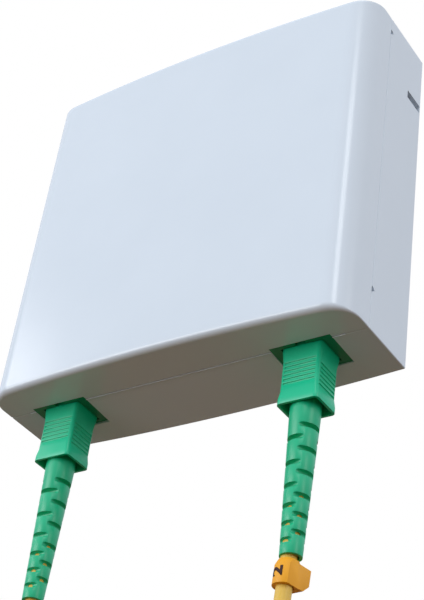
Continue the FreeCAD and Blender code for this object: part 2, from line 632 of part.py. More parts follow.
def make_plug_grip(label, place, spin):
    """The outer grip: a sleeve with a key, a narrow waist and a hollow rear end."""
    body = new_body(label)
    rear = "(grip_front + grip_length)"
    outside = new_sketch(body, "XY_Plane", "-" + rear)
    add_rectangle(outside, "-grip_width / 2", "grip_width / 2", "-grip_depth / 2", "grip_depth / 2")
    pad(body, outside, "grip_length")
    key = new_sketch(body, "XY_Plane", "-grip_front")
    add_rectangle(key, "-key_width / 2", "key_width / 2", "-grip_depth / 2 - key_rise", "-grip_depth / 2 + 0.1")
    pad(body, key, "key_length", reverse=True)
    half_width, half_depth = "(grip_width / 2 - grip_wall)", "(grip_depth / 2 - grip_wall)"
    hole = new_sketch(body, "XY_Plane", "-grip_front")
    add_rectangle(hole, "-" + half_width, half_width, "-" + half_depth, half_depth)
    pocket(body, hole, "grip_length")
    hollow = new_sketch(body, "XY_Plane", "-" + rear)
    wide, deep = "(grip_width / 2 - hollow_rim)", "(boot_root / 2 + cord_gap)"
    add_rectangle(hollow, "-" + wide, wide, "-" + deep, deep)
    pocket(body, hollow, "rear_hollow", reverse=True)
    cut_grip_waist(body, rear)
    keep(body, label, place, spin)


def cut_grip_waist(body, rear):
    """Shallow cuts that narrow the grip where fingers hold it."""
    front_back = new_sketch(body, "YZ_Plane", "-grip_width")
    sides = new_sketch(body, "XZ_Plane", "-grip_depth")
    for hand in ("-", ""):
        face, floor = hand + "(grip_depth / 2 + 1)", hand + "(grip_depth / 2 - waist_cut)"
        add_outline(front_back, [(floor, "-%s - 1" % rear), (face, "-%s - 1" % rear),
                                 (face, "-grip_waist"), (floor, "-grip_waist")])
        lip, bed = hand + "(grip_width / 2 + 0.001)", hand + "(grip_width / 2 - side_cut)"
        add_outline(sides, [(lip, "-grip_waist"), (bed, "-grip_waist - waist_end"),
                            (bed, "-%s + 2 * waist_end" % rear), (lip, "-%s + waist_end" % rear)])
    pocket(body, front_back, "2 * grip_width", reverse=True)
    pocket(body, sides, "2 * grip_depth", reverse=True)


def make_ferrule(label, place, spin):
    """The ceramic ferrule with its flange and tail, polished at an angle."""
    body = new_body(label)
    profile = new_sketch(body, "XZ_Plane")
    shaft, flange, tail = "ferrule_bore / 2", "flange_outer / 2", "tail_outer / 2"
    flange_top, flange_low = "-neck_rear - fit_gap", "-neck_rear - fit_gap - flange_length"
    add_outline(profile, [("0", "0.2"), (shaft + " - 0.2", "0.2"), (shaft, "-0.3"), (shaft, flange_top),
                          (flange, flange_top), (flange, flange_low), (tail, flange_low),
                          (tail, "-tail_end"), ("0", "-tail_end")])
    turn(body, profile)
    slope = new_sketch(body, "XZ_Plane", "-ferrule_bore")
    drop = "ferrule_bore * tan(ferrule_slope * 1 deg)"
    add_outline(slope, [("-ferrule_bore", "-%s - ferrule_gap" % drop), ("ferrule_bore", drop + " - ferrule_gap"),
                        ("ferrule_bore", "1"), ("-ferrule_bore", "1")])
    pocket(body, slope, "2 * ferrule_bore", reverse=True)
    keep(body, label, place, spin)


def make_spring(label, place, spin):
    """The helical spring that pushes the ferrule forward."""
    wire = number("spring_wire")
    top = number("-neck_rear - fit_gap - flange_length") - wire * 0.75
    bottom = number("-bore_end") + wire * 0.75
    radius = number("wide_bore / 2 - 2 * fit_gap") - wire / 2
    helix = Part.makeHelix((top - bottom) / number("spring_turns"), top - bottom, radius)
    helix.translate(Vector(0, 0, bottom))
    section = Part.Wire(Part.makeCircle(wire / 2, Vector(radius, 0, bottom), Vector(0, 1, 0)))
    spring = doc.addObject("Part::Feature", label)
    spring.Shape = Part.Wire(helix).makePipeShell([section], True, True)
    keep(spring, label, place, spin)


def make_boot(label, place, spin, cord, root, tip, end):
    """The tapered boot that keeps the cord from bending sharply at the plug."""
    body = new_body(label)
    profile = new_sketch(body, "XZ_Plane")
    start = "-body_rear - boot_gap"
    crimp, crimp_end = "(crimp_outer / 2 + fit_gap)", "-body_rear - crimp_length - fit_gap"
    bore = "(%s / 2 + cord_gap)" % cord
    add_outline(profile, [(crimp, start), (root + " / 2", start), (root + " / 2", crimp_end),
                          (tip + " / 2", "-" + end), (bore, "-" + end), (bore, crimp_end), (crimp, crimp_end)])
    turn(body, profile)
    keep(body, label, place, spin)


def make_plug(kind, side, place, spin, cord, root, tip, end):
    """All pieces of one plug, named after its kind and side."""
    name = "%s_%s" % (kind, side)
    make_plug_body(name + "_body", place, spin)
    make_plug_grip(name + "_grip", place, spin)
    make_ferrule(name + "_ferrule", place, spin)
    make_spring(name + "_spring", place, spin)
    make_boot(name + "_boot", place, spin, cord, root, tip, end)


def make_dust_cap(side, place, spin):
    """The cap over a free plug: a stem round the ferrule and a round head."""
    label = "dust_cap_" + side
    body = new_body(label)
    profile = new_sketch(body, "XZ_Plane")
    stem, bore, head = "(wide_bore / 2 - 4 * fit_gap)", "(ferrule_bore / 2 + 2 * fit_gap)", "cap_outer / 2"
    top = "cap_length - grip_front"
    add_outline(profile, [("0", top), (head + " - 0.6", top), (head, top + " - 0.6"),
                          (head, "2 * slide_gap - grip_front"), (stem, "2 * slide_gap - grip_front"),
                          (stem, "-cap_stem"), (bore, "-cap_stem"), (bore, "1"), ("0", "1")])
    turn(body, profile)
    keep(body, label, place, spin)


# ---- fibre store inside the case -------------------------------------------------------

def make_fibre_spool():
    """A drum on the base's floor with four keeper tabs."""
    body = new_body("fibre_spool")
    drum = new_sketch(body, "XZ_Plane", "wall_thick")
    add_circle(drum, "0", "0", "spool_outer")
    add_circle(drum, "0", "0", "spool_outer - 2 * spool_wall")
    pad(body, drum, "spool_depth")
    tab = new_sketch(body, "XZ_Plane", "wall_thick + spool_depth - tab_thick")
    add_rectangle(tab, "-tab_width / 2", "tab_width / 2", "spool_outer / 2 - spool_wall / 2",
                  "spool_outer / 2 + tab_reach")
    first = pad(body, tab, "tab_thick")
    around = body.newObject("PartDesign::PolarPattern", "fibre_spool_tabs")
    around.Originals = [first]
    axis = next(item for item in body.Origin.OriginFeatures if item.Role == "Y_Axis")
    around.Axis = (axis, [""])
    around.Angle = 360
    around.Occurrences = 4
    body.Tip = around
    doc.recompute()
    keep(body, "fibre_spool")


def make_pigtail_bundle():
    """The stored turns of both pigtails round the drum, as one ring."""
    body = new_body("pigtail_bundle")
    ring = new_sketch(body, "XZ_Plane", "wall_thick + 1")
    add_circle(ring, "0", "0", "2 * bundle_outer")
    add_circle(ring, "0", "0", "2 * bundle_inner")
    pad(body, ring, "bundle_thick")
    keep(body, "pigtail_bundle")


def make_splice_holder():
    """A comb with two channels for splice sleeves."""
    body = new_body("splice_holder")
    plate = new_sketch(body, "XZ_Plane", "wall_thick")
    half, tall = "(splice_length / 2 - splice_shift - 2)", "(splice_pitch + rib_thick)"
    add_rectangle(plate, "-" + half, half, "holder_height - " + tall, "holder_height + " + tall)
    pad(body, plate, "plate_thick")
    ribs = new_sketch(body, "XZ_Plane", "wall_thick + plate_thick")
    for step in (-1, 0, 1):
        middle = "holder_height + %d * splice_pitch" % step
        add_rectangle(ribs, "-" + half, half, middle + " - rib_thick / 2", middle + " + rib_thick / 2")
    pad(body, ribs, "rib_rise")
    keep(body, "splice_holder")


def make_splice_sleeve(side):
    """A rigid sleeve that protects one fusion splice."""
    label = "splice_sleeve_" + side
    sleeve = doc.addObject("Part::Cylinder", label)
    sleeve.setExpression("Radius", sized("splice_outer / 2"))
    sleeve.setExpression("Height", sized("splice_length"))
    place = ("%d * splice_shift - splice_length / 2" % SIDES[side],
             "-wall_thick - plate_thick - splice_outer / 2 - fit_gap",
             "holder_height - %d * splice_pitch / 2" % SIDES[side])
    keep(sleeve, label, place, Rotation(Vector(0, 1, 0), 90))


def make_cable_clamp():
    """A bar that presses the drop cable down, and its two screws."""
    body = new_body("cable_clamp")
    bar = new_sketch(body, "XZ_Plane", "wall_thick + boss_rise")
    half = "(clamp_span / 2 + boss_outer / 2)"
    add_rectangle(bar, "clamp_side - clamp_width / 2", "clamp_side + clamp_width / 2",
                  "slot_middle - " + half, "slot_middle + " + half)
    for hand in ("-", "+"):
        add_circle(bar, "clamp_side", "slot_middle %s clamp_span / 2" % hand, "clamp_screw + 2 * fit_gap")
    pad(body, bar, "clamp_thick")
    keep(body, "cable_clamp")
    screws = doc.addObject("Part::Compound", "clamp_screws")
    screws.Links = [make_clamp_screw(hand) for hand in ("-", "+")]
    keep(screws, "clamp_screws")


def make_clamp_screw(hand):
    shank = doc.addObject("Part::Cylinder", "screw_shank")
    shank.setExpression("Radius", sized("clamp_screw / 2"))
    shank.setExpression("Height", sized("screw_length"))
    head = doc.addObject("Part::Cylinder", "screw_head")
    head.setExpression("Radius", sized("head_outer / 2"))
    head.setExpression("Height", sized("head_rise"))
    head.Placement = Placement(Vector(0, 0, number("screw_length")), Rotation())
    head.setExpression("Placement.Base.z", sized("screw_length"))
    screw = doc.addObject("Part::Fuse", "screw")
    screw.Base = shank
    screw.Tool = head
    screw.Placement = Placement(Vector(), Rotation(Vector(1, 0, 0), 90))
    screw.setExpression("Placement.Base.x", sized("clamp_side"))
    screw.setExpression("Placement.Base.y", sized("screw_length - wall_thick - boss_rise - clamp_thick"))
    screw.setExpression("Placement.Base.z", sized("slot_middle %s clamp_span / 2" % hand))
    return screw


# ---- cords -----------------------------------------------------------------------------

def cord_tube(label, points, diameter):
    """A round tube of straight runs joined by arcs; each arc takes what its two runs allow."""
    corners = [Vector(*point) for point in points]
    edges, radii = [], []
    last = corners[0]
    for before, corner, after in zip(corners, corners[1:], corners[2:]):
        toward, away = before.sub(corner), after.sub(corner)
        half_turn = (math.pi - toward.getAngle(away)) / 2
        tangent = 0.45 * min(toward.Length, away.Length)
        radii.append(tangent / math.tan(half_turn))
        toward.normalize()
        away.normalize()
        start, end = corner + toward * tangent, corner + away * tangent
        inward = (toward + away).normalize()
        centre = corner + inward * (radii[-1] / math.cos(half_turn))
        middle = centre - inward * radii[-1]
        edges += [Part.LineSegment(last, start).toShape(), Part.Arc(start, middle, end).toShape()]
        last = end
    edges.append(Part.LineSegment(last, corners[-1]).toShape())
    path = Part.Wire(edges)
    circle = Part.makeCircle(diameter / 2, corners[0], corners[1].sub(corners[0]))
    tube = path.makePipeShell([Part.Wire(circle)], True, True)
    wanted = path.Length * math.pi * diameter ** 2 / 4
    if abs(tube.Volume / wanted - 1) > 0.01:
        raise ValueError("%s has the wrong volume" % label)
    print("%s: %.1f mm long, bend radii %s" % (label, path.Length, [round(radius, 1) for radius in radii]))
    return tube


def make_cord(label, routes, diameter):
    """One cord's loose stretches, as separate solids of one sub-part."""
    tubes = [cord_tube(label, points, number(diameter)) for points in routes]
    cord = doc.addObject("Part::Feature", label)
    cord.Shape = Part.makeCompound(tubes)
    keep(cord, label)


def make_cable_coil(side):
    """The stored turns of a patch cord, as one ring round the Y direction."""
    label = "cable_coil_" + side
    body = new_body(label)
    section = new_sketch(body, "XZ_Plane")
    add_rectangle(section, "coil_radius - coil_section / 2", "coil_radius + coil_section / 2",
                  "-coil_section / 2", "coil_section / 2")
    turn(body, section)
    round_edges(body, "coil_round", lambda edge: isinstance(edge.Curve, Part.Circle) and edge.Length > 1)
    place = tuple(str(size) for size in COIL_MIDDLES[side])
    keep(body, label, place, Rotation(Vector(1, 0, 0), 90))


def make_coil_tie(side):
    """A strap round the stored turns, near the top of the coil and clear of the other coil's travel."""
    label = "coil_tie_" + side
    body = new_body(label)
    section = new_sketch(body, "XZ_Plane")
    for half in ("(coil_section / 2 + tie_gap + tie_thick)", "(coil_section / 2 + tie_gap)"):
        add_rectangle(section, "coil_radius - " + half, "coil_radius + " + half, "-" + half, half)
    turn(body, section, angle=number("tie_angle"))
    place = tuple(str(size) for size in COIL_MIDDLES[side])
    lean = -90 + number("tie_angle") / 2 + SIDES[side] * number("tie_lean")
    swing = Rotation(Vector(0, 1, 0), lean)
    keep(body, label, place, swing.multiply(Rotation(Vector(1, 0, 0), 90)))


def make_marker_ring():
    """The clip-on cable marker with its flag, just below the right boot."""
    body = new_body("marker_ring")
    ring = new_sketch(body, "XY_Plane", "-marker_length / 2")
    add_circle(ring, "0", "0", "marker_outer")
    pad(body, ring, "marker_length")
    flag = new_sketch(body, "XY_Plane", "-marker_length / 2")
    add_rectangle(flag, "0", "marker_wing", "-wing_thick / 2", "wing_thick / 2")
    pad(body, flag, "marker_length")
    bore = new_sketch(body, "XY_Plane", "marker_length / 2")
    add_circle(bore, "0", "0", "cord_width + 2 * cord_gap")
    pocket(body, bore, "marker_length")
    lean = Rotation(Vector(0, 1, 0), number("marker_lean"))
    turned = lean.multiply(Rotation(Vector(0, 0, 1), number("wing_turn")))
    place = ("port_right - marker_aside", "-port_depth", "-case_height / 2 - marker_drop")
    keep(body, "marker_ring", place, turned)


# ---- the whole object ------------------------------------------------------------------

def make_case():
    make_rear_base()
    make_front_cover()
    make_fibre_spool()
    make_pigtail_bundle()
    make_splice_holder()
    make_cable_clamp()


def make_side(side):
    """One port with its adapter, the plug on each side of it, and the patch cord."""
    make_adapter_housing(side)
    make_adapter_latches(side)
    make_alignment_sleeve(side)
    make_adapter_clip(side)
    turned = Rotation(Vector(0, 1, 0), 180)
    far_place = tuple(str(size) for size in FAR_PLUGS[side])
    patch = ("cord_width", "boot_root", "boot_tip", "boot_end")
    pigtail = ("fibre_width", "inner_boot_root", "inner_boot_tip", "inner_boot_end")
    make_plug("plug", side, socket_place(side), Rotation(), *patch)
    make_plug("inner_plug", side, socket_place(side), turned, *pigtail)
    make_plug("far_plug", side, far_place, turned, *patch)
    make_dust_cap(side, far_place, turned)
    make_cord("pigtail_" + side, [PIGTAIL_ROUTES[side], SPLICE_TAILS[side]], "fibre_width")
    make_splice_sleeve(side)
    make_cord("patch_cord_" + side, [CORD_ROUTES[side], CORD_TAILS[side]], "cord_width")
    make_cable_coil(side)
    make_coil_tie(side)


def check_and_write():
    """Stops on any failed object or bad solid, then writes each sub-part to its own file."""
    doc.recompute()
    for item in doc.Objects:
        if "Invalid" in item.State or "Error" in item.State:
            raise ValueError("%s failed" % item.Label)
    for item in sub_parts:
        if item.Shape.isNull() or not item.Shape.isValid() or not item.Shape.Solids:
            raise ValueError("%s has no valid solid" % item.Label)
    os.makedirs("parts", exist_ok=True)
    for item in sub_parts:
        item.Shape.exportStep("parts/%s.step" % item.Label)
    print("%d sub-parts" % len(sub_parts))


fill_sheet()
make_case()
for each_side in SIDES:
    make_side(each_side)
make_marker_ring()
check_and_write()
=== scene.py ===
"""Looks of the fibre termination box: case, adapters, plugs, slitted boots, cords and cable marker.

Lengths are in millimetres times MM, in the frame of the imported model. Each plug has a frame of
its own, as in the part: +Z points to its mate, -Y is its key side, and the origin is the plane
where two ferrules meet. Grips and boots are modelled once in that frame and copied to each plug.
"""
import bmesh
import bpy
import math
from mathutils import Matrix, Vector


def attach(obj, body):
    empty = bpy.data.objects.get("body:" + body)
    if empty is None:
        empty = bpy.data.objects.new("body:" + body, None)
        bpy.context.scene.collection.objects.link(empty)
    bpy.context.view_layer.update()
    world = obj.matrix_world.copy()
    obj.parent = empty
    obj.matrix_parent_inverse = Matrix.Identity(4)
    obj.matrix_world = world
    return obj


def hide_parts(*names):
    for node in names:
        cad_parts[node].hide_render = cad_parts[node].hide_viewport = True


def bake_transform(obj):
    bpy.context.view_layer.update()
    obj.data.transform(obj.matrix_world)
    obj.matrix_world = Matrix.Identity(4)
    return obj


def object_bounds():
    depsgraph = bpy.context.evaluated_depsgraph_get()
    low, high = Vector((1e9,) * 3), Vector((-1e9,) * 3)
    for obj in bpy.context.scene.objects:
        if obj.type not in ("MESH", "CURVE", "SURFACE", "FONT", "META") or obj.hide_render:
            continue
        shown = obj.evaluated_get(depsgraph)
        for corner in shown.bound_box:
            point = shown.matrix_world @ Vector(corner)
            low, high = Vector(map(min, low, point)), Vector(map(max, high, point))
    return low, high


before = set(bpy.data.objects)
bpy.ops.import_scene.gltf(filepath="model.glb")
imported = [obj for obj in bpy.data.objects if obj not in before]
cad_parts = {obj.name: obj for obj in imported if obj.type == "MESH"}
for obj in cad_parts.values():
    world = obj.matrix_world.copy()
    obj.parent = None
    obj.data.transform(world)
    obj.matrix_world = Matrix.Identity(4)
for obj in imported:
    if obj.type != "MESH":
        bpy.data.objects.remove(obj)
cad_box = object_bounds()

MM = 0.001
SIDES = {"left": -1, "right": 1}

PORT_ACROSS = {"left": -29.65, "right": 28.55}
PORT_DEPTH, MATING_LEVEL = 11.0, -27.5
PORT_HALF, CASE_SIDE, CASE_BOTTOM, SEAM_DEPTH = 6.65, 38.0, -41.0, -14.65
LIP_WIDTH, LIP_RISE = 0.2, 0.13
CORD_WIDTH, CORD_LENGTH = 3.0, 1.0

GRIP_WIDTH, GRIP_DEPTH = 9.0, 7.4
GRIP_FRONT, GRIP_REAR = -0.8, -25.8
GRIP_HOLLOW, GRIP_RIM, GRIP_WALL, GRIP_ROUNDING = 6.0, 0.55, 0.75, 0.98
GRIP_LEVELS = (-14.0, -16.4, -22.9, -24.6)
WAIST_WIDTH_CUT, WAIST_DEPTH_CUT = 0.5, 0.4
RIB_PITCH, RIB_COUNT = 0.915, 6
GROOVE_HEIGHT, GROOVE_BAR, GROOVE_ROUNDING = 0.5, 0.9, 0.14
FACE_GROOVE, FACE_GROOVE_TOP, FACE_GROOVE_OUT = 6.9, -16.9, 0.02
SIDE_GROOVE, SIDE_GROOVE_TOP, SIDE_GROOVE_OUT = 5.8, -18.2, -0.04

BOOT_TOP, BOOT_COLLAR, BOOT_END = -21.6, -27.05, -56.1
COLLAR_RADIUS, END_RADIUS, BOOT_BORE, CRIMP_BORE = 3.0, 2.1, 1.53, 2.35
SIDE_SLITS = (-30.6, -35.5, -40.3, -44.9, -48.7, -52.1)
FACE_SLITS = (-33.1, -38.3, -42.9, -46.9, -50.4, -53.6)
SLIT_HEIGHT, SLIT_ROUNDING, SLIT_BAR, SLIT_SPAN = 1.02, 0.42, 4.0, 8.0
FULL_SPINE, THIN_SPINE, THIN_BELOW = 1.54, 1.40, -44.5
BOOT_TURN = {"left": -2.0, "right": -20.0}

SPRING_FRONT, SPRING_BACK, SPRING_TURNS = -11.31, -16.64, 5
SPRING_RADIUS, SPRING_WIRE = 2.12, 0.43

MARKER_MIDDLE = (28.15, -11.0, -86.8)
MARKER_RADIUS, MARKER_NECK, MARKER_HALF = 2.38, 1.9, 2.43
MARKER_REACH, MARKER_FLAT, FLAG_THICKNESS, FLAG_HALF = 4.0, 1.82, 2.6, 2.2
MARKER_LEAN, FLAG_TURN, DIGIT_TURN = 3.0, 80.0, -104.0
SHOULDER, FLAG_DROP, FLAG_CHAMFER = 1.1, 0.15, 1.4
DIGIT_SIZE, DIGIT_BOLD, DIGIT_DROP, INK_THICKNESS = 3.9, 0.12, 0.25, 0.05

COIL_RADIUS, TURN_PITCH, COIL_TURNS, TURN_STEPS = 18.0, 3.13, 8, 24
COIL_MIDDLES = {"left": (-11.1, -6.0, -124.0), "right": (9.8, -16.2, -125.0)}
TURN_PLACES = ((1, -1), (0, -1), (-1, -1), (-1, 0), (-1, 1), (0, 1), (0, 0), (1, 0), (1, 1))
CORD_STARTS = {
    "left": [(-29.65, -11.0, -54.6), (-29.65, -11.0, -70.0), (-29.65, -11.0, -86.0),
             (-29.9, -10.1, -99.0), (-31.4, -9.2, -111.5)],
    "right": [(28.55, -11.0, -54.6), (28.55, -11.0, -70.0), (28.4, -11.0, -80.0),
              (27.75, -11.1, -91.0), (28.1, -12.1, -102.5), (30.2, -13.0, -113.0)],
}
CORD_ENDS = {
    "left": [(-32.2, -4.6, -135.0), (-32.2, -6.0, -142.0), (-32.2, -6.0, -168.8)],
    "right": [(30.9, -17.8, -136.0), (30.9, -16.2, -144.0), (30.9, -16.2, -175.8)],
}
FAR_PLUGS = {"left": (-32.2, -6.0, -196.0), "right": (30.9, -16.2, -203.0)}
FAR_PARTS = ("body", "ferrule", "coil", "sleeve", "slit_boot")


# ---- camera, stage and light -----------------------------------------------------------

def add_camera():
    """A long lens from the lower right, looking up at the underside, slightly tilted."""
    yaw, pitch, roll = math.radians(37.94), math.radians(35.51), math.radians(8.71)
    ahead = Vector((-math.sin(yaw) * math.cos(pitch), math.cos(yaw) * math.cos(pitch), math.sin(pitch)))
    level = ahead.cross(Vector((0, 0, 1))).normalized()
    upright = level.cross(ahead)
    across = math.cos(roll) * level + math.sin(roll) * upright
    up = math.cos(roll) * upright - math.sin(roll) * level
    lens = bpy.data.cameras.new("camera")
    lens.lens = 88.46
    lens.sensor_width = 36.0
    lens.clip_start = 0.01
    lens.clip_end = 10.0
    camera = bpy.data.objects.new("camera", lens)
    bpy.context.scene.collection.objects.link(camera)
    camera.matrix_world = Matrix((
        (across.x, up.x, -ahead.x, 0.15601),
        (across.y, up.y, -ahead.y, -0.20755),
        (across.z, up.z, -ahead.z, -0.19826),
        (0, 0, 0, 1),
    ))
    bpy.context.scene.camera = camera


def add_lamp(name, place, target, size, power, colour):
    """A soft rectangular lamp that faces its target."""
    lamp = bpy.data.lights.new(name, "AREA")
    lamp.shape = "RECTANGLE"
    lamp.size, lamp.size_y = size
    lamp.energy = power
    lamp.color = colour
    holder = bpy.data.objects.new(name, lamp)
    bpy.context.scene.collection.objects.link(holder)
    holder.location = place
    holder.rotation_mode = "QUATERNION"
    holder.rotation_quaternion = (Vector(target) - Vector(place)).to_track_quat("-Z", "Y")


def add_surround():
    """A white room, whose light comes mostly from the front and above and hardly from below."""
    world = bpy.data.worlds.new("studio")
    bpy.context.scene.world = world
    world.use_nodes = True
    nodes, links = world.node_tree.nodes, world.node_tree.links
    nodes.clear()
    place = nodes.new("ShaderNodeTexCoord")
    split = nodes.new("ShaderNodeSeparateXYZ")
    links.new(place.outputs["Generated"], split.inputs[0])
    height = nodes.new("ShaderNodeValToRGB")
    height.color_ramp.elements[0].position = 0.36
    height.color_ramp.elements[0].color = (0.160, 0.108, 0.078, 1)
    height.color_ramp.elements[1].position = 0.60
    height.color_ramp.elements[1].color = (0.74, 0.79, 0.88, 1)
    half = nodes.new("ShaderNodeMath")
    half.operation = "MULTIPLY_ADD"
    half.inputs[1].default_value = 0.5
    half.inputs[2].default_value = 0.5
    links.new(split.outputs["Z"], half.inputs[0])
    links.new(half.outputs[0], height.inputs[0])
    soft = nodes.new("ShaderNodeBackground")
    links.new(height.outputs[0], soft.inputs["Color"])
    white = nodes.new("ShaderNodeBackground")
    white.inputs["Color"].default_value = (1, 1, 1, 1)
    white.inputs["Strength"].default_value = 1.0
    seen = nodes.new("ShaderNodeLightPath")
    choose = nodes.new("ShaderNodeMixShader")
    links.new(seen.outputs["Is Camera Ray"], choose.inputs[0])
    links.new(soft.outputs[0], choose.inputs[1])
    links.new(white.outputs[0], choose.inputs[2])
    output = nodes.new("ShaderNodeOutputWorld")
    links.new(choose.outputs[0], output.inputs["Surface"])


def add_floor():
    """A pale floor below the hanging cords, which throws little light back up."""
    select_none()
    low = cad_box[0].z - 0.015
    bpy.ops.mesh.primitive_plane_add(size=6.0, location=(0, 0, low))
    floor = bpy.context.object
    floor.name = "floor"
    finish = bpy.data.materials.new("pale_floor")
    finish.use_nodes = True
    nodes, links = finish.node_tree.nodes, finish.node_tree.links
    nodes.clear()
    pale = nodes.new("ShaderNodeBsdfDiffuse")
    pale.inputs["Color"].default_value = (0.9, 0.9, 0.9, 1)
    dim = nodes.new("ShaderNodeBsdfDiffuse")
    dim.inputs["Color"].default_value = (0.185, 0.125, 0.090, 1)
    seen = nodes.new("ShaderNodeLightPath")
    choose = nodes.new("ShaderNodeMixShader")
    links.new(seen.outputs["Is Camera Ray"], choose.inputs[0])
    links.new(dim.outputs[0], choose.inputs[1])
    links.new(pale.outputs[0], choose.inputs[2])
    output = nodes.new("ShaderNodeOutputMaterial")
    links.new(choose.outputs[0], output.inputs["Surface"])
    floor.data.materials.append(finish)


def set_up_studio():
    add_camera()
    add_surround()
    add_floor()
    add_lamp("key_lamp", (-0.75, -1.15, 0.0), (0, 0, -0.02), (0.9, 0.9), 11.5, (0.96, 0.98, 1.0))
    add_lamp("side_lamp", (1.1, -0.25, 0.20), (0, 0, -0.02), (0.35, 0.9), 2.6, (1.0, 0.95, 0.90))
    add_lamp("streak_lamp", (0.38, -0.72, 0.55), (0, 0, 0), (0.22, 0.36), 1.1, (0.96, 0.98, 1.0))
    add_lamp("patch_lamp", (-0.75, -0.49, 0.44), (-0.035, 0, -0.035), (0.20, 0.14), 0.36, (1.0, 0.98, 0.98))
    bpy.context.scene.view_settings.view_transform = "Standard"


# ---- modelling helpers -----------------------------------------------------------------

def select_none():
    if bpy.context.object and bpy.context.object.mode != "OBJECT":
        bpy.ops.object.mode_set(mode="OBJECT")
    bpy.ops.object.select_all(action="DESELECT")


def take(piece):
    """Makes piece the one that the next operators act on."""
    select_none()
    piece.select_set(True)
    bpy.context.view_layer.objects.active = piece


def begin_edit(piece):
    take(piece)
    bpy.ops.object.mode_set(mode="EDIT")
    bpy.ops.mesh.select_all(action="DESELECT")


def end_edit():
    bpy.ops.object.mode_set(mode="OBJECT")


def pick_faces(piece, test):
    """Selects the faces whose middle and normal pass the test, middles in millimetres."""
    bpy.ops.mesh.select_mode(type="FACE")
    bpy.ops.mesh.select_all(action="DESELECT")
    mesh = bmesh.from_edit_mesh(piece.data)
    for face in mesh.faces:
        face.select_set(test(face.calc_center_median() / MM, face.normal))
    bmesh.update_edit_mesh(piece.data)


def pick_edges(piece, test):
    """Selects the edges whose two ends pass the test, in millimetres."""
    bpy.ops.mesh.select_mode(type="EDGE")
    bpy.ops.mesh.select_all(action="DESELECT")
    mesh = bmesh.from_edit_mesh(piece.data)
    for edge in mesh.edges:
        edge.select_set(test(edge.verts[0].co / MM, edge.verts[1].co / MM))
    bmesh.update_edit_mesh(piece.data)


def pick_points(piece, test):
    """Selects the vertices that pass the test, in millimetres."""
    bpy.ops.mesh.select_mode(type="VERT")
    bpy.ops.mesh.select_all(action="DESELECT")
    mesh = bmesh.from_edit_mesh(piece.data)
    for point in mesh.verts:
        point.select_set(test(point.co / MM))
    mesh.select_flush(True)
    bmesh.update_edit_mesh(piece.data)


def cut_across(level):
    """Cuts an edge loop right round the piece in edit mode, at that height."""
    bpy.ops.mesh.select_all(action="SELECT")
    bpy.ops.mesh.bisect(plane_co=(0, 0, level * MM), plane_no=(0, 0, 1))


def line_bore():
    """Joins the piece's two open edges by an inner wall, turns its faces outward and ends the edit."""
    bpy.ops.mesh.select_mode(type="EDGE")
    bpy.ops.mesh.select_all(action="DESELECT")
    bpy.ops.mesh.select_non_manifold()
    bpy.ops.mesh.bridge_edge_loops()
    bpy.ops.mesh.select_all(action="SELECT")
    bpy.ops.mesh.normals_make_consistent(inside=False)
    end_edit()


def add_block(name, size, middle):
    """A box with its sizes and its middle in millimetres, its place kept in its mesh."""
    select_none()
    bpy.ops.mesh.primitive_cube_add(size=1, location=Vector(middle) * MM)
    block = bpy.context.object
    block.name = name
    block.scale = Vector(size) * MM
    settle(block)
    return block


def add_rod(name, radius, low, high, sides=64):
    """An upright round rod between two heights, in millimetres."""
    select_none()
    bpy.ops.mesh.primitive_cylinder_add(
        vertices=sides, radius=radius * MM, depth=(high - low) * MM,
        location=(0, 0, (low + high) / 2 * MM), end_fill_type="NGON")
    rod = bpy.context.object
    rod.name = name
    settle(rod)
    return rod


def settle(piece):
    """Puts the piece's place, turn and size into its mesh."""
    take(piece)
    bpy.ops.object.transform_apply(location=True, rotation=True, scale=True)


def apply_all(piece):
    """Applies every modifier of the piece, in order."""
    take(piece)
    for modifier in list(piece.modifiers):
        bpy.ops.object.modifier_apply(modifier=modifier.name)


def copy_to(model, name, place):
    """A copy of the model with a mesh of its own, set down by the matrix place."""
    twin = bpy.data.objects.new(name, model.data.copy())
    bpy.context.scene.collection.objects.link(twin)
    twin.matrix_world = place
    bpy.context.view_layer.update()
    settle(twin)
    return twin


def discard(piece):
    bpy.data.objects.remove(piece)


def join(pieces):
    """Makes one object of several."""
    select_none()
    for piece in pieces:
        piece.select_set(True)
    bpy.context.view_layer.objects.active = pieces[0]
    bpy.ops.object.join()
    return pieces[0]


def combine(piece, other, operation):
    """Joins the other shape to the piece or cuts it out, and drops the other."""
    step = piece.modifiers.new("step", "BOOLEAN")
    step.operation = operation
    step.solver = "EXACT"
    step.object = other
    apply_all(piece)
    discard(other)


def carve(piece, cutter):
    combine(piece, cutter, "DIFFERENCE")


def soften(piece, width, segments=2, angle=35):
    """Rounds the piece's sharp edges a little and shades it smooth between them."""
    bevel = piece.modifiers.new("soft_edges", "BEVEL")
    bevel.width = width * MM
    bevel.segments = segments
    bevel.limit_method = "ANGLE"
    bevel.angle_limit = math.radians(angle)
    bevel.harden_normals = False
    apply_all(piece)
    take(piece)
    bpy.ops.object.shade_smooth_by_angle(angle=math.radians(angle))


def dress(piece, finish, body, slot, *nodes):
    """Gives a finished piece its material and its body, and hides the CAD nodes it stands for; slot is not
    used.
    """
    piece.data.materials.clear()
    piece.data.materials.append(finish)
    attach(piece, body)
    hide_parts(*nodes)


# ---- finishes --------------------------------------------------------------------------

def new_group(name, inputs, outputs):
    """An empty shader group with those named inputs and outputs."""
    group = bpy.data.node_groups.new(name, "ShaderNodeTree")
    for label, kind, value in inputs:
        socket = group.interface.new_socket(name=label, in_out="INPUT", socket_type=kind)
        socket.default_value = value
    for label, kind in outputs:
        group.interface.new_socket(name=label, in_out="OUTPUT", socket_type=kind)
    return group, group.nodes.new("NodeGroupInput"), group.nodes.new("NodeGroupOutput")


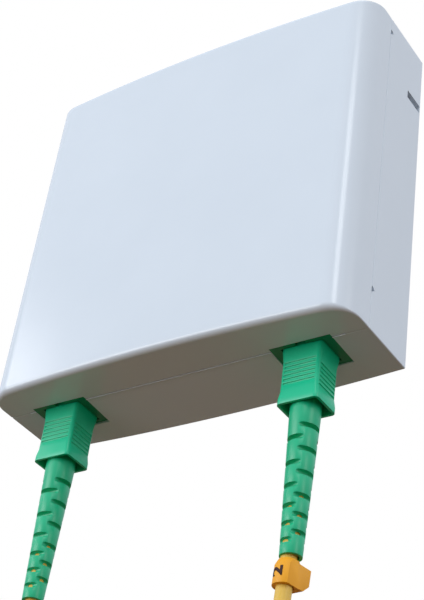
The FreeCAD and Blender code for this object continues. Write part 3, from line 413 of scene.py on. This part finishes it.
def make_moulded_group():
    """Moulded plastic: a fine surface grain, soft cloudy tone and slightly uneven gloss."""
    group, given, result = new_group(
        "moulded_plastic",
        [("Colour", "NodeSocketColor", (1, 1, 1, 1)),
         ("Cloud Colour", "NodeSocketColor", (1, 1, 1, 1)),
         ("Grain Size", "NodeSocketFloat", 1.0),
         ("Cloud Size", "NodeSocketFloat", 1.0),
         ("Low Gloss", "NodeSocketFloat", 0.3),
         ("High Gloss", "NodeSocketFloat", 0.4)],
        [("Colour", "NodeSocketColor"), ("Roughness", "NodeSocketFloat"), ("Height", "NodeSocketFloat")])
    nodes, links = group.nodes, group.links
    place = nodes.new("ShaderNodeTexCoord")
    cloud = nodes.new("ShaderNodeTexNoise")
    cloud.inputs["Detail"].default_value = 3.0
    links.new(place.outputs["Object"], cloud.inputs["Vector"])
    links.new(given.outputs["Cloud Size"], cloud.inputs["Scale"])
    grain = nodes.new("ShaderNodeTexNoise")
    grain.inputs["Detail"].default_value = 2.0
    links.new(place.outputs["Object"], grain.inputs["Vector"])
    links.new(given.outputs["Grain Size"], grain.inputs["Scale"])
    tint = nodes.new("ShaderNodeMix")
    tint.data_type = "RGBA"
    links.new(cloud.outputs["Fac"], tint.inputs["Factor"])
    links.new(given.outputs["Colour"], tint.inputs["A"])
    links.new(given.outputs["Cloud Colour"], tint.inputs["B"])
    gloss = nodes.new("ShaderNodeMapRange")
    links.new(grain.outputs["Fac"], gloss.inputs["Value"])
    links.new(given.outputs["Low Gloss"], gloss.inputs["To Min"])
    links.new(given.outputs["High Gloss"], gloss.inputs["To Max"])
    links.new(tint.outputs["Result"], result.inputs["Colour"])
    links.new(gloss.outputs["Result"], result.inputs["Roughness"])
    links.new(grain.outputs["Fac"], result.inputs["Height"])
    return group


def plastic(name, group, colour, cloud_colour, gloss, grain=2500.0, cloud=60.0, bump=0.02):
    """A Principled material fed by the moulded plastic group."""
    finish = bpy.data.materials.new(name)
    finish.use_nodes = True
    nodes, links = finish.node_tree.nodes, finish.node_tree.links
    surface = nodes["Principled BSDF"]
    mould = nodes.new("ShaderNodeGroup")
    mould.node_tree = group
    mould.inputs["Colour"].default_value = (*colour, 1)
    mould.inputs["Cloud Colour"].default_value = (*cloud_colour, 1)
    mould.inputs["Grain Size"].default_value = grain
    mould.inputs["Cloud Size"].default_value = cloud
    mould.inputs["Low Gloss"].default_value = gloss[0]
    mould.inputs["High Gloss"].default_value = gloss[1]
    links.new(mould.outputs["Colour"], surface.inputs["Base Color"])
    links.new(mould.outputs["Roughness"], surface.inputs["Roughness"])
    relief = nodes.new("ShaderNodeBump")
    relief.inputs["Strength"].default_value = bump
    relief.inputs["Distance"].default_value = 0.1 * MM
    links.new(mould.outputs["Height"], relief.inputs["Height"])
    links.new(relief.outputs["Normal"], surface.inputs["Normal"])
    return finish


# name: colour, cloud colour, lowest and highest roughness
FINISHES = {
    "case_white": ((0.68, 0.765, 0.845), (0.72, 0.805, 0.885), (0.16, 0.22)),
    "inner_white": ((0.72, 0.74, 0.76), (0.78, 0.80, 0.82), (0.38, 0.5)),
    "apc_green": ((0.001, 0.57, 0.29), (0.001, 0.63, 0.33), (0.28, 0.38)),
    # The adapters' green is the plugs' green made darker: painted shade for the adapters set back in their
    # ports.
    "shaded_adapter_green": ((0.004, 0.22, 0.09), (0.005, 0.27, 0.11), (0.30, 0.42)),
    "boot_green": ((0.004, 0.47, 0.22), (0.006, 0.53, 0.26), (0.30, 0.42)),
    "cord_yellow": ((0.80, 0.51, 0.07), (0.84, 0.56, 0.085), (0.35, 0.48)),
    "marker_amber": ((0.92, 0.40, 0.001), (0.96, 0.44, 0.002), (0.45, 0.55)),
    "digit_brown": ((0.040, 0.012, 0.008), (0.06, 0.016, 0.010), (0.7, 0.8)),
    "ceramic": ((0.80, 0.79, 0.76), (0.84, 0.83, 0.80), (0.12, 0.18)),
    "cap_clear": ((0.74, 0.77, 0.78), (0.80, 0.83, 0.84), (0.25, 0.35)),
    "tie_black": ((0.012, 0.012, 0.013), (0.03, 0.03, 0.032), (0.7, 0.9)),
    "fibre_white": ((0.80, 0.80, 0.78), (0.84, 0.84, 0.82), (0.35, 0.45)),
    "splice_clear": ((0.70, 0.72, 0.73), (0.76, 0.78, 0.79), (0.2, 0.3)),
    "spring_steel": ((0.50, 0.50, 0.51), (0.60, 0.60, 0.61), (0.22, 0.35)),
    "screw_steel": ((0.55, 0.55, 0.54), (0.62, 0.62, 0.62), (0.25, 0.4)),
}
METALS = ("spring_steel", "screw_steel")


def make_finishes():
    """Every finish by its name; the steels are metallic."""
    mould = make_moulded_group()
    finishes = {name: plastic(name, mould, *look) for name, look in FINISHES.items()}
    for metal in METALS:
        finishes[metal].node_tree.nodes["Principled BSDF"].inputs["Metallic"].default_value = 1.0
    return finishes


# ---- cords -----------------------------------------------------------------------------

def coil_points(side):
    """The stored turns: each turn lies in its own place, and slips into the next by its end."""
    middle = Vector(COIL_MIDDLES[side])
    hand = SIDES[side]
    steps = COIL_TURNS * TURN_STEPS
    polygon_growth = 1 / math.cos(math.pi / TURN_STEPS)
    points = []
    for step in range(steps + 1):
        turn, part = divmod(step / TURN_STEPS, 1.0)
        turn = int(turn)
        here = TURN_PLACES[turn]
        there = TURN_PLACES[min(turn + 1, COIL_TURNS)]
        first = (COIL_TURNS - 1 - turn) / COIL_TURNS
        share = min(max((part - first) * COIL_TURNS, 0.0), 1.0)
        share = share * share * (3 - 2 * share)
        out = here[0] + (there[0] - here[0]) * share
        layer = here[1] + (there[1] - here[1]) * share
        radius = (COIL_RADIUS + out * TURN_PITCH) * polygon_growth
        angle = 2 * math.pi * step / TURN_STEPS
        points.append(middle + Vector((
            hand * radius * math.cos(angle),
            -hand * layer * TURN_PITCH,
            -radius * math.sin(angle))))
    return points


def make_patch_cord(side, finish):
    """The whole cord as one smooth spline: down out of the boot, round its coil, to the far plug."""
    line = [Vector(p) for p in CORD_STARTS[side]] + coil_points(side)
    line += [Vector(p) for p in CORD_ENDS[side]]
    curve = bpy.data.curves.new("cord_" + side, "CURVE")
    curve.dimensions = "3D"
    spline = curve.splines.new("NURBS")
    spline.points.add(len(line) - 1)
    for point, place in zip(spline.points, line):
        point.co = (*(place * MM), 1)
    spline.order_u = 3
    spline.use_endpoint_u = True
    spline.resolution_u = 5
    curve.bevel_depth = CORD_WIDTH / 2 * MM
    curve.bevel_resolution = 5
    curve.use_fill_caps = True
    cord = bpy.data.objects.new("cord_" + side, curve)
    bpy.context.scene.collection.objects.link(cord)
    dress(cord, finish, "plug_" + side, "cord_yellow", "patch_cord_" + side, "cable_coil_" + side)
    return cord


# ---- plug grip and boot ----------------------------------------------------------------

def rib_cutters():
    """Bars that cut the finger grooves, six across each face of the grip's waist."""
    face_bar = Vector((FACE_GROOVE, GROOVE_BAR, GROOVE_HEIGHT))
    side_bar = Vector((GROOVE_BAR, SIDE_GROOVE, GROOVE_HEIGHT))
    depth = GRIP_DEPTH / 2 + FACE_GROOVE_OUT
    across = GRIP_WIDTH / 2 + SIDE_GROOVE_OUT
    faces = (
        ("front", face_bar, (0, -depth, FACE_GROOVE_TOP)),
        ("back", face_bar, (0, depth, FACE_GROOVE_TOP)),
        ("near_side", side_bar, (-across, 0, SIDE_GROOVE_TOP)),
        ("far_side", side_bar, (across, 0, SIDE_GROOVE_TOP)),
    )
    cutters = []
    for name, size, middle in faces:
        bar = add_block("groove_" + name, size, middle)
        begin_edit(bar)
        bpy.ops.mesh.select_all(action="SELECT")
        bpy.ops.mesh.bevel(offset=GROOVE_ROUNDING * MM, segments=2, affect="EDGES")
        end_edit()
        row = bar.modifiers.new("row", "ARRAY")
        row.use_relative_offset = False
        row.use_constant_offset = True
        row.constant_offset_displace = (0, 0, -RIB_PITCH * MM)
        row.count = RIB_COUNT
        apply_all(bar)
        cutters.append(bar)
    return join(cutters)


def model_grip():
    """The push-pull sleeve: smooth front, ribbed waist, flared rear end with a thin rim."""
    length = GRIP_FRONT - GRIP_REAR
    middle = (GRIP_FRONT + GRIP_REAR) / 2
    grip = add_block("grip_model", (GRIP_WIDTH, GRIP_DEPTH, length), (0, 0, middle))
    begin_edit(grip)
    for level in GRIP_LEVELS:
        cut_across(level)
    pick_points(grip, lambda p: GRIP_LEVELS[2] - 0.1 < p.z < GRIP_LEVELS[1] + 0.1)
    waist = (1 - WAIST_WIDTH_CUT / GRIP_WIDTH, 1 - WAIST_DEPTH_CUT / GRIP_DEPTH, 1)
    bpy.ops.transform.resize(value=waist, center_override=(0, 0, 0))
    pick_edges(grip, lambda a, b: abs(a.x - b.x) < 1 and abs(a.y - b.y) < 1 and abs(a.z - b.z) > 1)
    bpy.ops.mesh.bevel(offset=GRIP_ROUNDING * MM, segments=6, affect="EDGES")
    pick_faces(grip, lambda m, n: n.z < -0.9)
    bpy.ops.mesh.inset(thickness=GRIP_RIM * MM)
    bpy.ops.mesh.extrude_region_move(TRANSFORM_OT_translate={"value": (0, 0, GRIP_HOLLOW * MM)})
    bpy.ops.mesh.inset(thickness=(GRIP_WALL - GRIP_RIM) * MM)
    bpy.ops.mesh.delete(type="FACE")
    pick_faces(grip, lambda m, n: n.z > 0.9 and m.z > GRIP_FRONT - 0.1)
    bpy.ops.mesh.inset(thickness=GRIP_WALL * MM)
    bpy.ops.mesh.delete(type="FACE")
    line_bore()
    carve(grip, rib_cutters())
    soften(grip, 0.09)
    return grip


def slit_cutters():
    """Bars for the boot's bending slits: opposite pairs, turned a quarter from one level to the next."""
    cutters = []
    for levels, quarter in ((SIDE_SLITS, 0), (FACE_SLITS, 1)):
        for level in levels:
            wall = boot_radius(level)
            spine = FULL_SPINE if level > THIN_BELOW else THIN_SPINE
            for half in (0, 1):
                middle = (spine + SLIT_BAR / 2, 0, level)
                bar = add_block("slit", (SLIT_BAR, SLIT_SPAN, SLIT_HEIGHT), middle)
                begin_edit(bar)
                pick_edges(bar, lambda a, b: max(a.x, b.x) < wall and abs(a.y - b.y) > 1)
                bpy.ops.mesh.bevel(offset=SLIT_ROUNDING * MM, segments=4, affect="EDGES")
                end_edit()
                bar.rotation_euler.z = math.radians(90 * quarter + 180 * half)
                settle(bar)
                cutters.append(bar)
    return join(cutters)


def boot_radius(level):
    """Outer radius of the boot at a height in the plug's frame."""
    share = (BOOT_COLLAR - level) / (BOOT_COLLAR - BOOT_END)
    return COLLAR_RADIUS + (END_RADIUS - COLLAR_RADIUS) * max(share, 0.0)


def model_boot():
    """The tapered boot with its bore and staggered slits."""
    boot = add_rod("boot_model", COLLAR_RADIUS, BOOT_END, BOOT_TOP)
    begin_edit(boot)
    cut_across(BOOT_COLLAR)
    pick_points(boot, lambda p: p.z < BOOT_END + 0.1)
    shrink = END_RADIUS / COLLAR_RADIUS
    bpy.ops.transform.resize(value=(shrink, shrink, 1), center_override=(0, 0, 0))
    pick_faces(boot, lambda m, n: n.z < -0.9)
    bpy.ops.mesh.inset(thickness=(END_RADIUS - BOOT_BORE) * MM)
    bpy.ops.mesh.delete(type="FACE")
    pick_faces(boot, lambda m, n: n.z > 0.9)
    bpy.ops.mesh.inset(thickness=(COLLAR_RADIUS - CRIMP_BORE) * MM)
    down = (0, 0, (BOOT_COLLAR - BOOT_TOP) * MM)
    bpy.ops.mesh.extrude_region_move(TRANSFORM_OT_translate={"value": down})
    bpy.ops.mesh.inset(thickness=(CRIMP_BORE - BOOT_BORE) * MM)
    bpy.ops.mesh.delete(type="FACE")
    line_bore()
    carve(boot, slit_cutters())
    soften(boot, 0.06)
    return boot


def model_spring():
    """The ferrule's spring: a wire wound round the ferrule's tail, with closed ends."""
    select_none()
    bpy.ops.mesh.primitive_circle_add(
        vertices=10, radius=SPRING_WIRE / 2 * MM, rotation=(math.pi / 2, 0, 0),
        location=Vector((SPRING_RADIUS, 0, SPRING_BACK)) * MM)
    spring = bpy.context.object
    spring.name = "spring_model"
    settle(spring)
    winding = spring.modifiers.new("winding", "SCREW")
    winding.axis = "Z"
    winding.steps = winding.render_steps = 24
    winding.iterations = SPRING_TURNS
    winding.screw_offset = (SPRING_FRONT - SPRING_BACK) / SPRING_TURNS * MM
    apply_all(spring)
    begin_edit(spring)
    bpy.ops.mesh.select_all(action="SELECT")
    bpy.ops.mesh.fill_holes(sides=12)
    bpy.ops.mesh.select_all(action="SELECT")
    bpy.ops.mesh.normals_make_consistent(inside=False)
    end_edit()
    bpy.ops.object.shade_smooth_by_angle(angle=math.radians(40))
    return spring


def set_spring(spring, name, place, finish):
    """A copy of the spring for one plug, set in the place of the plug's own spring node, which it hides."""
    coil = copy_to(spring, name + "_coil", place)
    coil.data.materials.clear()
    coil.data.materials.append(finish)
    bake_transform(coil)
    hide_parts(name + "_spring")


def plug_places():
    """The matrix of each plug's own frame, by the start of its nodes' names."""
    places = {}
    upside_down = Matrix.Rotation(math.pi, 4, "Y")
    for side in SIDES:
        port = Matrix.Translation(Vector((PORT_ACROSS[side], -PORT_DEPTH, MATING_LEVEL)) * MM)
        places["plug_" + side] = port
        places["inner_plug_" + side] = port @ upside_down
        places["far_plug_" + side] = Matrix.Translation(Vector(FAR_PLUGS[side]) * MM) @ upside_down
    return places


def make_plugs(finishes):
    """Sets a grip on every plug and a slitted boot on the four plugs of the patch cords."""
    grip, boot, spring = model_grip(), model_boot(), model_spring()
    for plug, place in plug_places().items():
        side = plug.rsplit("_", 1)[1]
        kind = plug[:-len("plug_" + side)]
        own_grip = copy_to(grip, plug + "_sleeve", place)
        dress(own_grip, finishes["apc_green"], kind + "grip_" + side, "apc_green", plug + "_grip")
        set_spring(spring, plug, place, finishes["spring_steel"])
        if kind != "inner_":
            turned = place @ Matrix.Rotation(math.radians(BOOT_TURN[side]), 4, "Z")
            own_boot = copy_to(boot, plug + "_slit_boot", turned)
            dress(own_boot, finishes["boot_green"], "plug_" + side, "boot_green", plug + "_boot")
    for model in (grip, boot, spring):
        discard(model)


# ---- cable marker ----------------------------------------------------------------------

def make_marker(finishes):
    """The clip-on marker: a short ring with a sloped shoulder and a flat flag with a cut corner."""
    marker = add_rod("marker", MARKER_RADIUS, -MARKER_HALF, MARKER_HALF, sides=48)
    begin_edit(marker)
    cut_across(MARKER_HALF - SHOULDER)
    pick_points(marker, lambda p: p.z > MARKER_HALF - 0.1)
    narrow = MARKER_NECK / MARKER_RADIUS
    bpy.ops.transform.resize(value=(narrow, narrow, 1), center_override=(0, 0, 0))
    end_edit()
    flag = add_block("flag", (MARKER_REACH, FLAG_THICKNESS, 2 * FLAG_HALF),
                     (MARKER_REACH / 2, FLAG_THICKNESS / 2 - MARKER_FLAT - 0.1, -FLAG_DROP))
    begin_edit(flag)
    pick_edges(flag, lambda a, b: min(a.x, b.x) > 1 and max(a.z, b.z) < 0)
    bpy.ops.mesh.bevel(offset=FLAG_CHAMFER * MM, segments=1, affect="EDGES")
    end_edit()
    combine(marker, flag, "UNION")
    carve(marker, add_block("beyond_flat", (20, 4, 20), (0, -MARKER_FLAT - 2, 0)))
    carve(marker, add_rod("marker_bore", CORD_WIDTH / 2 + 0.05, -4, 4, sides=40))
    soften(marker, 0.28, segments=3)
    lean = Matrix.Rotation(math.radians(MARKER_LEAN), 4, "Y")
    place = Matrix.Translation(Vector(MARKER_MIDDLE) * MM) @ lean
    marker.matrix_world = place @ Matrix.Rotation(math.radians(FLAG_TURN), 4, "Z")
    settle(marker)
    dress(marker, finishes["marker_amber"], "plug_right", "marker_amber", "marker_ring")
    return marker, print_digit(marker, place, finishes["digit_brown"])


def print_digit(marker, place, finish):
    """A digit printed sideways on the round of the marker."""
    select_none()
    bpy.ops.object.text_add()
    digit = bpy.context.object
    digit.name = "marker_digit"
    digit.data.body = "2"
    digit.data.align_x = "CENTER"
    digit.data.align_y = "CENTER"
    digit.data.size = DIGIT_SIZE * MM
    digit.data.offset = DIGIT_BOLD * MM
    take(digit)
    bpy.ops.object.convert(target="MESH")
    begin_edit(digit)
    for step in range(-6, 7):
        bpy.ops.mesh.select_all(action="SELECT")
        bpy.ops.mesh.bisect(plane_co=(0, step * 0.25 * MM, 0), plane_no=(0, 1, 0))
    end_edit()
    sideways = Matrix(((0, 0, 1, 0), (0, -1, 0, 0), (1, 0, 0, 0), (0, 0, 0, 1)))
    outward = Matrix.Rotation(math.radians(DIGIT_TURN), 4, "Z")
    off_axis = Matrix.Translation(Vector((MARKER_RADIUS + 0.3, 0, -DIGIT_DROP)) * MM)
    digit.matrix_world = place @ outward @ off_axis @ sideways
    settle(digit)
    wrap = digit.modifiers.new("wrap", "SHRINKWRAP")
    wrap.target = marker
    wrap.wrap_method = "NEAREST_SURFACEPOINT"
    wrap.wrap_mode = "ABOVE_SURFACE"
    wrap.offset = 0.03 * MM
    ink = digit.modifiers.new("ink", "SOLIDIFY")
    ink.thickness = INK_THICKNESS * MM
    ink.offset = 0.0
    apply_all(digit)
    dress(digit, finish, "plug_right", "marker_amber")
    return digit


# ---- the case's seam -------------------------------------------------------------------

def make_seam_lips(finishes):
    """The rear half's rim stands a hair proud along the bottom seam, on both sides of each port."""
    edges = (-CASE_SIDE, PORT_ACROSS["left"] - PORT_HALF, PORT_ACROSS["left"] + PORT_HALF,
             PORT_ACROSS["right"] - PORT_HALF, PORT_ACROSS["right"] + PORT_HALF, CASE_SIDE)
    lips = []
    for first, last in zip(edges[::2], edges[1::2]):
        middle = ((first + last) / 2, SEAM_DEPTH, CASE_BOTTOM)
        lips.append(add_block("lip", (last - first, LIP_WIDTH, 2 * LIP_RISE), middle))
    lip = join(lips)
    soften(lip, 0.03)
    lip.name = "seam_lip"
    dress(lip, finishes["case_white"], "case", "case_white")


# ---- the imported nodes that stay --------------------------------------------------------

NODE_FINISHES = (
    ("case_white", ("rear_base", "front_cover")),
    ("inner_white", ("fibre_spool", "splice_holder", "cable_clamp", "adapter_latches")),
    # The adapters get the darkened green, painted shade of their recessed ports.
    ("shaded_adapter_green", ("adapter_housing",)),
    ("ceramic", ("alignment_sleeve", "_ferrule")),
    ("spring_steel", ("_spring", "adapter_clip")),
    ("screw_steel", ("clamp_screws",)),
    ("fibre_white", ("pigtail",)),
    ("splice_clear", ("splice_sleeve",)),
    ("cap_clear", ("dust_cap",)),
    ("tie_black", ("coil_tie",)),
    ("apc_green", ("_body",)),
    ("boot_green", ("_boot",)),
)


def paint_nodes(finishes):
    """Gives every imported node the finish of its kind."""
    for name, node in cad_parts.items():
        for finish, words in NODE_FINISHES:
            if any(word in name for word in words):
                node.data.materials.clear()
                node.data.materials.append(finishes[finish])
                break


select_none()
set_up_studio()
finishes = make_finishes()
paint_nodes(finishes)
cords = {side: make_patch_cord(side, finishes["cord_yellow"]) for side in SIDES}
make_plugs(finishes)
make_seam_lips(finishes)
marker, digit = make_marker(finishes)
for side in SIDES:
    on_cord = ["far_plug_%s_%s" % (side, part) for part in FAR_PARTS]
    on_cord += ["coil_tie_" + side, "dust_cap_" + side]
    if side == "right":
        on_cord += [marker, digit]
